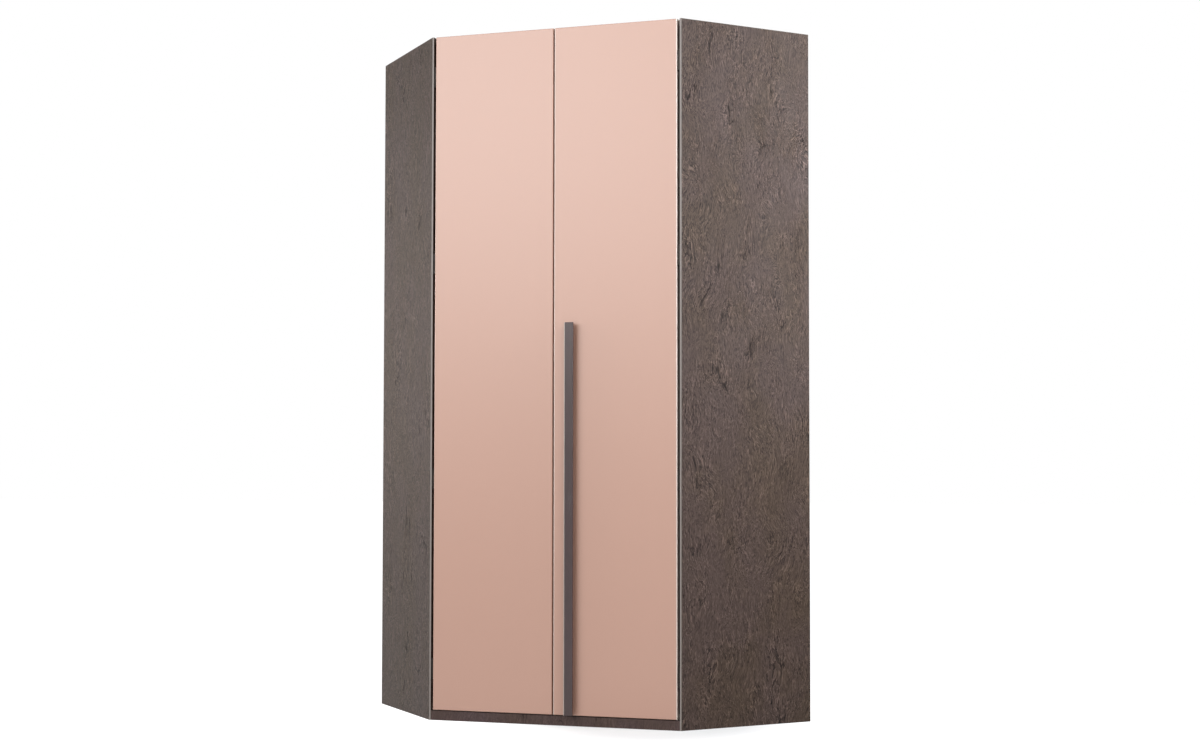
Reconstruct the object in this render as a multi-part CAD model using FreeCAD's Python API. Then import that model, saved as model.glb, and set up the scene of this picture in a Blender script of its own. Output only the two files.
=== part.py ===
import FreeCAD, Part
import math
import os

# Corner wardrobe with a diagonal front, in millimetres.
# The front faces -Y and the room corner is at +Y.
# The origin is on the floor, under the middle of the whole box.

# Numbers of flat sides that stand for the round of small repeated parts
screw_sides = 6
fitting_sides = 8
hinge_sides = 12
foot_sides = 12
rail_end_sides = 8

# Overall sizes
height = 2200.0
wall_length = 1060.0
side_depth = 465.0
board = 18.0
back_board = 8.0

# Front corner of a side panel: a narrow flat that faces the front, with a pale edge strip
nose_width = 4.6
nose_trim = 1.5

# Rear edge of a side panel and of the back that sits in it
rebate_width = 10.0
back_top_gap = 2.0

# Doors
door_board = 18.0
door_proud = 2.0
hinge_gap = 8.4
centre_gap = 4.5
door_top_gap = 1.0
door_foot = 33.0
door_edge_round = 2.5
door_standoff = 2.5
buffer_radius = 5.0
buffer_clearance = 0.3
buffer_inset = 30.0

# Plinth, its blocks and the levelling feet
plinth_height = 30.0
plinth_board = 18.0
plinth_setback = 1.0
block_length = 70.0
block_leg = 24.0
block_place_shares = (-0.5, 0.5)
foot_pad_radius = 22.0
foot_pad_height = 4.0
foot_stem_radius = 5.0
foot_cup_radius = 15.0
foot_cup_height = 9.0
foot_inset = 70.0
foot_wall_share = 0.52

# Rear corner post and hat shelf
post_width = 44.0
post_arris = 3.0
shelf_top = 1800.0
shelf_setback = 40.0
shelf_clearance = 0.4

# Hanging rail, an oval tube held by drop brackets under the hat shelf
rail_length = 980.0
rail_height = 30.0
rail_width = 15.0
rail_wall = 1.4
rail_drop = 62.0
rail_back = 380.0
cap_thickness = 3.0
cap_rim = 1.2
cap_plug = 14.0
bracket_width = 16.0
bracket_rim = 4.0
bracket_plate_length = 46.0
bracket_plate_width = 40.0
bracket_plate = 3.0
bracket_place_shares = (-0.42, 0.0, 0.42)
bracket_names = ("left", "middle", "right")

# Hinges: an arm wrapped round the side panel's edge, a leaf wrapped round the door's edge, and a pin
hinge_height_shares = (0.06, 0.34, 0.66, 0.94)
hinge_height = 64.0
hinge_plate = 1.4
hinge_arm_length = 52.0
hinge_leaf_length = 46.0
hinge_corner = 7.0
pivot_depth = 3.0
knuckle_radius = 2.8
knuckle_length = 21.0
knuckle_clearance = 0.2
pin_radius = 1.4
pin_running_clearance = 0.05
pin_head_radius = 2.4
pin_head_height = 1.2
hinge_screw_row_share = 0.3

# Handle on the right door: a strip carried by a web, T-shaped in section
handle_length = 1225.0
handle_foot = 35.0
handle_width = 30.5
handle_strip = 4.0
handle_web = 8.0
handle_reach = 25.0
handle_inset = 42.75
handle_edge_round = 2.2
handle_root = 2.0
handle_screw_shares = (0.06, 0.35, 0.65, 0.94)
handle_screw_radius = 2.0
handle_screw_head_radius = 4.0
handle_screw_head = 2.2
handle_screw_grip = 12.0

# Joints of the boards: dowels, and cams with their bolts
dowel_radius = 4.0
dowel_in_side = 11.0
dowel_in_board = 23.0
dowel_place_shares = (0.22, 0.8)
cam_radius = 7.5
cam_depth = 13.0
cam_distance = 34.0
cam_slot_width = 1.6
cam_slot_depth = 2.0
cam_place_shares = (0.36, 0.66)
cam_bolt_radius = 3.0
cam_bolt_in_side = 10.0

# Shelf pins
shelf_pin_radius = 2.5
shelf_pin_in_panel = 10.0
shelf_pin_out = 9.0
shelf_pin_place_shares = (0.2, 0.82)

# Screws: pan heads on the hinges and brackets, sunk heads in the backs
screw_radius = 1.75
screw_length = 13.0
screw_head_radius = 3.6
screw_head_height = 1.7
back_screw_length = 26.0
back_screw_edge_shares = (0.12, 0.5, 0.88)
back_screw_post_shares = (0.1, 0.37, 0.63, 0.9)

# Worked-out sizes
half_root = math.sqrt(0.5)
plan_depth = (wall_length + side_depth) * half_root
front_reach = door_proud + handle_reach
corner_y = (plan_depth + front_reach) / 2
nose_y = corner_y - plan_depth
nose_x = (wall_length - side_depth) * half_root
inner_wall = wall_length - board
edge_depth = board / half_root - nose_width
door_back = door_board - door_proud
carcass_front = door_back + door_standoff
door_edge = nose_width + hinge_gap
pivot_s = nose_width + hinge_gap / 2
door_top = height - door_top_gap
door_height = door_top - door_foot
door_middle = nose_x - centre_gap / 2
bottom_top = plinth_height + board
top_underside = height - board
shelf_underside = shelf_top - board
rail_z = shelf_underside - rail_drop
rail_y = nose_y + rail_back
up = FreeCAD.Vector(0, 0, 1)
right = FreeCAD.Vector(1, 0, 0)
forward = FreeCAD.Vector(0, -1, 0)
along_wall = FreeCAD.Vector(-half_root, -half_root, 0)
off_wall = FreeCAD.Vector(half_root, -half_root, 0)


# Places on the floor plan, and shapes made from them
def plan(p, q):
    """Point p along the left wall from the room corner and q out from that wall."""
    return FreeCAD.Vector((q - p) * half_root, corner_y - (p + q) * half_root, 0)


def front(s, d):
    """Point s to the right of the left panel's nose and d in front of the noses."""
    return FreeCAD.Vector(s - nose_x, nose_y - d, 0)


def raised(point, z):
    """The same plan point at height z."""
    return FreeCAD.Vector(point.x, point.y, z)


def mirrored(shape):
    """The right-hand twin of a left-hand shape."""
    return shape.mirror(FreeCAD.Vector(0, 0, 0), right)


def mirrored_points(points):
    """The right-hand twins of plan points, in reverse order, so that an outline can run on."""
    return [FreeCAD.Vector(-v.x, v.y, v.z) for v in reversed(points)]


def prism(points, low, high):
    """Upright solid on a plan outline."""
    ring = [raised(v, low) for v in points]
    return Part.Face(Part.makePolygon(ring + ring[:1])).extrude(up * (high - low))


def rod(start, direction, radius, length, sides=fitting_sides):
    """Round bar from a point along a direction, drawn with flat sides that touch a circle of the radius."""
    across = right if abs(direction.z) > half_root else direction.cross(up)
    upward = direction.cross(across)
    corner = radius / math.cos(math.pi / sides)
    turns = [2 * math.pi * (number + 1 / 2) / sides for number in range(sides)]
    ring = [start + (across * math.cos(turn) + upward * math.sin(turn)) * corner for turn in turns]
    return Part.Face(Part.makePolygon(ring + ring[:1])).extrude(direction * length)


def stadium(tall, wide, x, length):
    """Oval bar along X about the hanging rail's axis, its two round ends drawn with flat sides."""
    radius = wide / 2
    flat = tall / 2 - radius
    turns = [math.pi * number / rail_end_sides for number in range(rail_end_sides + 1)]
    half = [FreeCAD.Vector(0, math.cos(turn) * radius, math.sin(turn) * radius + flat) for turn in turns]
    centre = FreeCAD.Vector(x, rail_y, rail_z)
    ring = [centre + point for point in half] + [centre - point for point in half]
    return Part.Face(Part.makePolygon(ring + ring[:1])).extrude(right * length)


def screw(seat, inward, length, sunk):
    """Screw whose head sits on a seat point, or is sunk below it, with its shank pointing inward."""
    head_start = seat if sunk else seat - inward * screw_head_height
    head = rod(head_start, inward, screw_head_radius, screw_head_height, screw_sides)
    shank = rod(head_start + inward * screw_head_height, inward, screw_radius, length, screw_sides)
    return head.fuse(shank).removeSplitter()


def edges_at(shape, test):
    """Edges of a shape whose two ends both pass a test."""
    return [edge for edge in shape.Edges if all(test(vertex.Point) for vertex in edge.Vertexes)]


# Boards of the carcass
def side_panel():
    """Left side panel, rebated at the back, with its front edge square to the doors."""
    rebate = inner_wall + rebate_width
    outline = [plan(wall_length, 0), front(-nose_trim, -nose_trim), front(nose_width, -nose_trim),
               front(nose_width, -edge_depth), plan(inner_wall, back_board), plan(rebate, back_board),
               plan(rebate, 0)]
    return prism(outline, 0, height)


def edge_trim():
    """Pale strip on the left panel's nose."""
    outline = [front(0, 0), front(nose_width, 0), front(nose_width, -nose_trim),
               front(-nose_trim, -nose_trim)]
    return prism(outline, 0, height)


def floor_outline(setback, clearance):
    """Five-sided outline inside the panels and backs, with its front edge behind the doors."""
    depth = carcass_front + setback
    wall = inner_wall - clearance
    back = back_board + clearance
    if setback:
        left = [front(board / half_root + clearance / half_root - depth, -depth), plan(wall, back)]
    else:
        left = [front(nose_width, -depth), front(nose_width, -edge_depth), plan(wall, back)]
    return left + [plan(back, back)] + mirrored_points(left)


def hat_shelf():
    """Shelf notched round the rear corner post."""
    shelf = prism(floor_outline(shelf_setback, shelf_clearance), shelf_underside, shelf_top)
    notch = back_board + post_width + shelf_clearance
    return shelf.cut(prism([plan(0, 0), plan(notch, 0), plan(notch, notch), plan(0, notch)],
                           shelf_underside, shelf_top))


def back_panel(start):
    """Left back, from a distance along its wall to the side panel's rebate."""
    end = inner_wall + rebate_width
    outline = [plan(start, 0), plan(end, 0), plan(end, back_board), plan(start, back_board)]
    return prism(outline, plinth_height, height - back_top_gap)


def corner_post():
    """Square post in the room corner, with its free edge eased."""
    near = back_board
    far = back_board + post_width
    eased = far - post_arris
    outline = [plan(near, near), plan(far, near), plan(far, eased), plan(eased, far), plan(near, far)]
    return prism(outline, bottom_top, top_underside)


def plinth():
    """Board under the doors, between the two side panels."""
    left = [front(nose_width, -plinth_setback), front(nose_width, -plinth_setback - plinth_board)]
    return prism(left + mirrored_points(left), 0, plinth_height)


def plinth_block(share):
    """Three-cornered block behind the plinth and under the bottom panel."""
    start = front(nose_x + share * nose_x - block_length / 2, -plinth_setback - plinth_board)
    high = raised(start, plinth_height)
    low = high - up * block_leg
    back = high - forward * block_leg
    return Part.Face(Part.makePolygon([high, low, back, high])).extrude(right * block_length)


def levelling_foot(place):
    """Foot with a round pad, a threaded stem and a cup screwed under the bottom panel."""
    cup_low = plinth_height - foot_cup_height
    pad = rod(place, up, foot_pad_radius, foot_pad_height, foot_sides)
    stem = rod(raised(place, foot_pad_height), up, foot_stem_radius, cup_low - foot_pad_height)
    cup = rod(raised(place, cup_low), up, foot_cup_radius, foot_cup_height, foot_sides)
    return pad.fuse([stem, cup]).removeSplitter()


# Hanging rail
def hanging_rail():
    """Oval tube along X."""
    start = -rail_length / 2
    outer = stadium(rail_height, rail_width, start, rail_length)
    hollow = stadium(rail_height - 2 * rail_wall, rail_width - 2 * rail_wall, start, rail_length)
    return outer.cut(hollow)


def rail_cap():
    """Plug in the rail's left end."""
    end = -rail_length / 2
    rim = stadium(rail_height + 2 * cap_rim, rail_width + 2 * cap_rim, end - cap_thickness, cap_thickness)
    plug = stadium(rail_height - 2 * rail_wall, rail_width - 2 * rail_wall, end, cap_plug)
    return rim.fuse(plug)


def rail_bracket(share):
    """Plate under the hat shelf with a tongue that rings the rail."""
    centre = share * rail_length
    start = centre - bracket_width / 2
    ring = stadium(rail_height + 2 * bracket_rim, rail_width + 2 * bracket_rim, start, bracket_width)
    half = rail_width / 2 + bracket_rim
    tongue = Part.makeBox(bracket_width, 2 * half, shelf_underside - rail_z,
                          FreeCAD.Vector(start, rail_y - half, rail_z))
    plate = Part.makeBox(bracket_plate_length, bracket_plate_width, bracket_plate,
                         FreeCAD.Vector(centre - bracket_plate_length / 2, rail_y - bracket_plate_width / 2,
                                        shelf_underside - bracket_plate))
    body = ring.fuse([tongue, plate]).removeSplitter()
    return body.cut(stadium(rail_height, rail_width, start, bracket_width))


def bracket_screws(share):
    """Two screws up through a bracket's plate, one on each side of the tongue."""
    reach = (bracket_plate_length + bracket_width) / 4
    seats = [FreeCAD.Vector(share * rail_length + side * reach, rail_y, shelf_underside - bracket_plate)
             for side in (-1, 1)]
    return [screw(seat, up, screw_length, False) for seat in seats]


# Doors
def door_panel():
    """Left door, a board with the edges of its face rounded."""
    face_y = nose_y - door_proud
    panel = Part.makeBox(door_middle - door_edge, door_board, door_height,
                         FreeCAD.Vector(door_edge - nose_x, face_y, door_foot))
    face_edges = edges_at(panel, lambda point: point.y < face_y + door_edge_round)
    return panel.makeFillet(door_edge_round, face_edges)


def door_buffers():
    """Two soft dots on the left door's back, facing the bottom and the top panel."""
    place = front(door_middle - buffer_inset, -door_back)
    lap_low = (door_foot + bottom_top) / 2
    lap_high = (top_underside + door_top) / 2
    thickness = door_standoff - buffer_clearance
    return [rod(raised(place, z), -forward, buffer_radius, thickness) for z in (lap_low, lap_high)]


# Hinges, made for the left door
def hinge_places():
    """Heights of the hinges' middles."""
    return [door_foot + share * door_height for share in hinge_height_shares]


def knuckle(low, high, toward, bore):
    """Barrel round the pin with the web that ties it to the panel or to the door."""
    axis = front(pivot_s, -pivot_depth)
    reach = pivot_s + toward * hinge_gap / 2
    deep = pivot_depth + knuckle_radius
    barrel = rod(raised(axis, low), up, knuckle_radius, high - low, hinge_sides)
    web = prism([axis, front(reach, -pivot_depth), front(reach, -deep), front(pivot_s, -deep)], low, high)
    return barrel.fuse(web).cut(rod(raised(axis, low), up, bore, high - low, hinge_sides))


def clipped_plate(plate, corners, normal):
    """A hinge plate with the corners of its free end cut off at 45 degrees."""
    thickness = 2 * hinge_plate
    for corner, inward, vertical in corners:
        start = corner - normal * hinge_plate
        ring = [start, start + inward * hinge_corner, start + vertical * hinge_corner, start]
        plate = plate.cut(Part.Face(Part.makePolygon(ring)).extrude(normal * (thickness + hinge_plate)))
    return plate


def hinge_arm(z):
    """Plate round the left panel's front edge and along its inner face, with the two outer knuckles."""
    low = z - hinge_height / 2
    high = z + hinge_height / 2
    deep = pivot_depth + knuckle_radius
    face = nose_width + hinge_plate
    bend = front(face, face - (board + hinge_plate) / half_root)
    seat_end = front(nose_width, -edge_depth) - off_wall * hinge_arm_length
    outline = [front(nose_width, -deep), front(face, -deep), bend,
               seat_end - along_wall * hinge_plate, seat_end, front(nose_width, -edge_depth)]
    corners = [(raised(seat_end, low), off_wall, up), (raised(seat_end, high), off_wall, -up)]
    plate = clipped_plate(prism(outline, low, high), corners, -along_wall)
    ends = [knuckle(low, low + knuckle_length, -1, pin_radius),
            knuckle(high - knuckle_length, high, -1, pin_radius)]
    return plate.fuse(ends).removeSplitter()


def hinge_leaf(z):
    """Plate round the left door's edge and along its back, with the middle knuckle."""
    low = z - hinge_height / 2
    high = z + hinge_height / 2
    deep = pivot_depth + knuckle_radius
    inner = door_edge - hinge_plate
    back = door_back + hinge_plate
    end = door_edge + hinge_leaf_length
    outline = [front(inner, -deep), front(door_edge, -deep), front(door_edge, -door_back),
               front(end, -door_back), front(end, -back), front(inner, -back)]
    tip = front(end, -door_back)
    corners = [(raised(tip, low), -right, up), (raised(tip, high), -right, -up)]
    plate = clipped_plate(prism(outline, low, high), corners, -forward)
    gap = knuckle_length + knuckle_clearance
    middle = knuckle(low + gap, high - gap, 1, pin_radius + pin_running_clearance)
    return plate.fuse(middle).removeSplitter()


def hinge_pin(z):
    """Pin through the three knuckles, with its head on top."""
    axis = front(pivot_s, -pivot_depth)
    low = raised(axis, z - hinge_height / 2)
    top = raised(axis, z + hinge_height / 2)
    shank = rod(low, up, pin_radius, hinge_height, hinge_sides)
    return shank.fuse(rod(top, up, pin_head_radius, pin_head_height))


def arm_screws(z):
    """Two screws through an arm into the side panel."""
    middle = front(nose_width, -edge_depth) - off_wall * (hinge_arm_length / 2) - along_wall * hinge_plate
    row = hinge_screw_row_share * hinge_height
    return [screw(raised(middle, z + side * row), along_wall, screw_length, False) for side in (-1, 1)]


def leaf_screws(z):
    """Two screws through a leaf into the door's back."""
    middle = front(door_edge + hinge_leaf_length / 2, -door_back - hinge_plate)
    row = hinge_screw_row_share * hinge_height
    return [screw(raised(middle, z + side * row), forward, screw_length, False) for side in (-1, 1)]


# Handle
def handle_middle():
    """Distance of the handle's web from the middle of the front."""
    return centre_gap / 2 + handle_inset + handle_width / 2


def handle_strip_and_web():
    """T-section carried up the right door, with rounded edges and inner corners."""
    middle = nose_x + handle_middle()
    half = handle_width / 2
    web = handle_web / 2
    back = front_reach - handle_strip
    outline = [front(middle - half, front_reach), front(middle + half, front_reach),
               front(middle + half, back), front(middle + web, back), front(middle + web, door_proud),
               front(middle - web, door_proud), front(middle - web, back), front(middle - half, back)]
    body = prism(outline, handle_foot, handle_foot + handle_length)
    face_y = nose_y - front_reach
    root_y = nose_y - back
    reach = web + handle_root
    roots = edges_at(body, lambda point: abs(point.y - root_y) < handle_root
                     and abs(point.x - handle_middle()) < reach)
    body = body.makeFillet(handle_root, roots)
    face_edges = edges_at(body, lambda point: point.y < face_y + handle_edge_round)
    return body.makeFillet(handle_edge_round, face_edges)


def handle_screws():
    """Screws through the right door into the handle's web."""
    shank = door_board + handle_screw_grip
    screws = []
    for share in handle_screw_shares:
        seat = raised(front(nose_x + handle_middle(), -door_back), handle_foot + share * handle_length)
        head = rod(seat, -forward, handle_screw_head_radius, handle_screw_head)
        screws.append(head.fuse(rod(seat, forward, handle_screw_radius, shank)))
    return screws


# Fittings that join the boards, made for the left side
def inner_depth(share):
    """Distance from the left wall at a share of the side panel's inner face."""
    return back_board + share * (side_depth - back_board)


def dowels():
    """Dowels between the left side panel and the top and bottom panels."""
    pegs = []
    for z in (plinth_height + board / 2, height - board / 2):
        for share in dowel_place_shares:
            start = raised(plan(inner_wall + dowel_in_side, inner_depth(share)), z)
            pegs.append(rod(start, -along_wall, dowel_radius, dowel_in_side + dowel_in_board))
    return pegs


def cam_places():
    """Mouth and direction of each cam's bore: the bottom panel's from below, the top panel's from above."""
    ways = ((plinth_height, up), (height, -up))
    return [(raised(plan(inner_wall - cam_distance, inner_depth(share)), face), inward)
            for face, inward in ways for share in cam_place_shares]


def cam_bores():
    """Bores that the left cams sit in."""
    return [rod(mouth, inward, cam_radius, cam_depth) for mouth, inward in cam_places()]


def cams():
    """Round cams with a slot across the face."""
    discs = []
    for bore, (mouth, inward) in zip(cam_bores(), cam_places()):
        corner = mouth - FreeCAD.Vector(cam_radius, cam_slot_width / 2, cam_slot_depth)
        discs.append(bore.cut(Part.makeBox(2 * cam_radius, cam_slot_width, 2 * cam_slot_depth, corner)))
    return discs


def cam_bolts():
    """Bolts from the cams into the left side panel."""
    bolts = []
    for z in (plinth_height + board / 2, height - board / 2):
        for share in cam_place_shares:
            start = raised(plan(inner_wall + cam_bolt_in_side, inner_depth(share)), z)
            length = cam_bolt_in_side + cam_distance
            bolts.append(rod(start, -along_wall, cam_bolt_radius, length))
    return bolts


def shelf_pin(seat, inward):
    """Pin in a panel, its free end under the hat shelf."""
    length = shelf_pin_in_panel + shelf_pin_out
    return rod(seat + inward * shelf_pin_in_panel, -inward, shelf_pin_radius, length)


def shelf_pins():
    """Pins in the left side panel and in the post's left face."""
    z = shelf_underside - shelf_pin_radius
    pins = []
    for share in shelf_pin_place_shares:
        pins.append(shelf_pin(raised(plan(inner_wall, inner_depth(share)), z), along_wall))
    post_face = back_board + post_width
    pins.append(shelf_pin(raised(plan(post_face, back_board + post_width / 2), z), -along_wall))
    return pins


def back_screws():
    """Sunk screws through the left back into the bottom panel, the top panel and the post."""
    seats = []
    for z in (plinth_height + board / 2, height - board / 2):
        seats += [raised(plan(share * inner_wall, 0), z) for share in back_screw_edge_shares]
    post = back_board + post_width / 2
    for share in back_screw_post_shares:
        seats.append(raised(plan(post, 0), bottom_top + share * (top_underside - bottom_top)))
    return [screw(seat, off_wall, back_screw_length, True) for seat in seats]


# All pieces, each under the name of its node
def both(solids):
    """Left-hand solids followed by their right-hand twins."""
    return solids + [mirrored(solid) for solid in solids]


def build():
    """Makes every piece, with the holes that its neighbours need."""
    heights = hinge_places()
    pegs = both(dowels())
    bores = both(cam_bores())
    bolts = [bolt.cut(bores) for bolt in both(cam_bolts())]
    pins = both(shelf_pins())
    backs = both(back_screws())
    left_arm_screws = [item for z in heights for item in arm_screws(z)]
    left_leaf_screws = [item for z in heights for item in leaf_screws(z)]
    right_leaf_screws = [mirrored(item) for item in left_leaf_screws]
    arm_fixings = both(left_arm_screws)
    rail_fixings = [item for share in bracket_place_shares for item in bracket_screws(share)]
    grip_screws = handle_screws()
    grip = handle_strip_and_web().cut(grip_screws)
    rail = hanging_rail()
    joints = pegs + bores + bolts

    nodes = {
        "left_side_panel": side_panel().cut(joints + pins + left_arm_screws),
        "right_side_panel": mirrored(side_panel()).cut(joints + pins + arm_fixings[len(left_arm_screws):]),
        "left_edge_trim": edge_trim(),
        "right_edge_trim": mirrored(edge_trim()),
        "top_panel": prism(floor_outline(0, 0), top_underside, height).cut(joints + backs),
        "bottom_panel": prism(floor_outline(0, 0), plinth_height, bottom_top).cut(joints + backs),
        "plinth_board": plinth(),
        "left_back_panel": back_panel(0).cut(backs),
        "right_back_panel": mirrored(back_panel(back_board)).cut(backs),
        "rear_corner_post": corner_post().cut(backs + pins),
        "hat_shelf": hat_shelf().cut(rail_fixings),
        "hanging_rail": rail,
        "left_rail_cap": rail_cap(),
        "right_rail_cap": mirrored(rail_cap()),
        "rail_bracket_screws": Part.makeCompound(rail_fixings),
        "shelf_pins": Part.makeCompound(pins),
        "dowels": Part.makeCompound(pegs),
        "cams": Part.makeCompound(both(cams())),
        "cam_bolts": Part.makeCompound(bolts),
        "back_screws": Part.makeCompound(backs),
        "hinge_arm_screws": Part.makeCompound(arm_fixings),
        "left_door_panel": door_panel().cut(left_leaf_screws),
        "right_door_panel": mirrored(door_panel()).cut(right_leaf_screws + grip_screws),
        "left_hinge_leaf_screws": Part.makeCompound(left_leaf_screws),
        "right_hinge_leaf_screws": Part.makeCompound(right_leaf_screws),
        "left_hinge_pins": Part.makeCompound([hinge_pin(z) for z in heights]),
        "right_hinge_pins": Part.makeCompound([mirrored(hinge_pin(z)) for z in heights]),
        "left_door_buffers": Part.makeCompound(door_buffers()),
        "right_door_buffers": Part.makeCompound([mirrored(item) for item in door_buffers()]),
        "handle": grip,
        "handle_screws": Part.makeCompound(grip_screws),
    }
    for name, share in zip(bracket_names, bracket_place_shares):
        nodes[name + "_rail_bracket"] = rail_bracket(share).cut(rail_fixings)
    for name, share in zip(("left", "right"), block_place_shares):
        nodes[name + "_plinth_block"] = plinth_block(share)
    for number, z in enumerate(heights, start=1):
        arm = hinge_arm(z).cut(left_arm_screws)
        leaf = hinge_leaf(z).cut(left_leaf_screws)
        nodes["left_hinge_arm_%d" % number] = arm
        nodes["right_hinge_arm_%d" % number] = mirrored(arm)
        nodes["left_hinge_leaf_%d" % number] = leaf
        nodes["right_hinge_leaf_%d" % number] = mirrored(leaf)
    along = foot_wall_share * wall_length
    places = {"corner": plan(foot_inset, foot_inset), "left": plan(along, foot_inset),
              "right": plan(foot_inset, along), "middle": plan(along, along)}
    for name, place in places.items():
        nodes[name + "_levelling_foot"] = levelling_foot(place)
    return nodes


def main():
    """Writes one file for each node."""
    os.makedirs("parts", exist_ok=True)
    for name, shape in build().items():
        shape.exportStep("parts/%s.step" % name)


main()
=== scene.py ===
"""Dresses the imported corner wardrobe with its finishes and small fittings, and sets it in a studio."""

import logging
import math
from abc import ABC, abstractmethod
from dataclasses import dataclass, replace
from enum import Enum
from typing import Callable, Mapping, Optional, Sequence, Union

import bmesh
import bpy
import numpy as np
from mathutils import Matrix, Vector


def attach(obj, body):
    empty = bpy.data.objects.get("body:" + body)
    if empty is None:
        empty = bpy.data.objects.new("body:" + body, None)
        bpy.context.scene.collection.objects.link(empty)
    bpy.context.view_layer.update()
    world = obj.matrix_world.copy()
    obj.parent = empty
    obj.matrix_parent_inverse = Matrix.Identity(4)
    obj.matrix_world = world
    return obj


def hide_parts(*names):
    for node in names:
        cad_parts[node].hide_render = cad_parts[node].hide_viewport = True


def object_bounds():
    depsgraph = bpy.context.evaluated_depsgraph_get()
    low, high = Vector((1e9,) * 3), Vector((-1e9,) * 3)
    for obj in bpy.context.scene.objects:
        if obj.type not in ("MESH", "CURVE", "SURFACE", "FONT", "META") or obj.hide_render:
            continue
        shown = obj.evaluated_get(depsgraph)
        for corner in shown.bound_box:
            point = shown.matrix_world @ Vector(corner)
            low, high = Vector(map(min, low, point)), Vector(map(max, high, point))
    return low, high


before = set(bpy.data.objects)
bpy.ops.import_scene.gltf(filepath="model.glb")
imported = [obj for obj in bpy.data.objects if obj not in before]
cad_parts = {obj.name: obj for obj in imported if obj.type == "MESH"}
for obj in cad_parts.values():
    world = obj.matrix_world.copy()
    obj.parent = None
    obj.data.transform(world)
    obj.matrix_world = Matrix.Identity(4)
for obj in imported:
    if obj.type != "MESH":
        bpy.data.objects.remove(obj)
CAD_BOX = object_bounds()
NOISE_MIDDLE = 0.5
SHARP_ANGLE = math.radians(40.0)
NEAR_UPRIGHT = 0.9
X_WAY = np.array([[1.0, 0.0, 0.0]])
Y_WAY = np.array([[0.0, 1.0, 0.0]])
Z_WAY = np.array([[0.0, 0.0, 1.0]])
log = logging.getLogger("corner_wardrobe")

Colour = tuple[float, float, float]
Triple = tuple[float, float, float]
Pair = tuple[float, float]
Number = Union["Expr", float]
Paint = Union["Expr", Colour]
Recess = Callable[[np.ndarray, np.ndarray], np.ndarray]


class Body(Enum):
    """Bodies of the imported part."""

    CARCASS = "carcass"
    LEFT_DOOR = "left_door"
    RIGHT_DOOR = "right_door"


class Slot(Enum):
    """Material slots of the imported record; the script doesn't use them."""

    RAIL = "rail_chrome"
    STEEL = "fitting_steel"
    PLASTIC = "black_plastic"
    BUFFER = "soft_buffer"


# Shader expressions


class Expr:
    """A shader socket used in arithmetic, which adds Math nodes as it goes."""

    def __init__(self, graph: "Graph", socket: bpy.types.NodeSocket) -> None:
        """Keeps the socket and the graph that it belongs to."""
        self.graph = graph
        self.socket = socket

    def _math(self, operation: str, first: Number, second: Number = 0.0) -> "Expr":
        """Adds one Math node on two values."""
        return self.graph.node("ShaderNodeMath", {"operation": operation}, {0: first, 1: second})

    def __add__(self, other: Number) -> "Expr":
        """Sum."""
        return self._math("ADD", self, other)

    def __radd__(self, other: Number) -> "Expr":
        """Sum with a number on the left."""
        return self._math("ADD", other, self)

    def __sub__(self, other: Number) -> "Expr":
        """Difference."""
        return self._math("SUBTRACT", self, other)

    def __rsub__(self, other: Number) -> "Expr":
        """Difference from a number on the left."""
        return self._math("SUBTRACT", other, self)

    def __mul__(self, other: Number) -> "Expr":
        """Product."""
        return self._math("MULTIPLY", self, other)

    def __rmul__(self, other: Number) -> "Expr":
        """Product with a number on the left."""
        return self._math("MULTIPLY", other, self)

    def __abs__(self) -> "Expr":
        """Size without sign."""
        return self._math("ABSOLUTE", self)

    def greatest(self, other: Number) -> "Expr":
        """The larger of two values."""
        return self._math("MAXIMUM", self, other)


@dataclass(frozen=True)
class Layer:
    """A layer of cloudy noise.

    It repeats so many times a metre along X, Y and Z, and unequal numbers stretch it. Detail is the
    number of finer octaves, rough is their share, and layers with another seed differ.
    """

    repeats: Triple
    detail: float = 2.0
    rough: float = 0.5
    seed: float = 0.0


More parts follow.
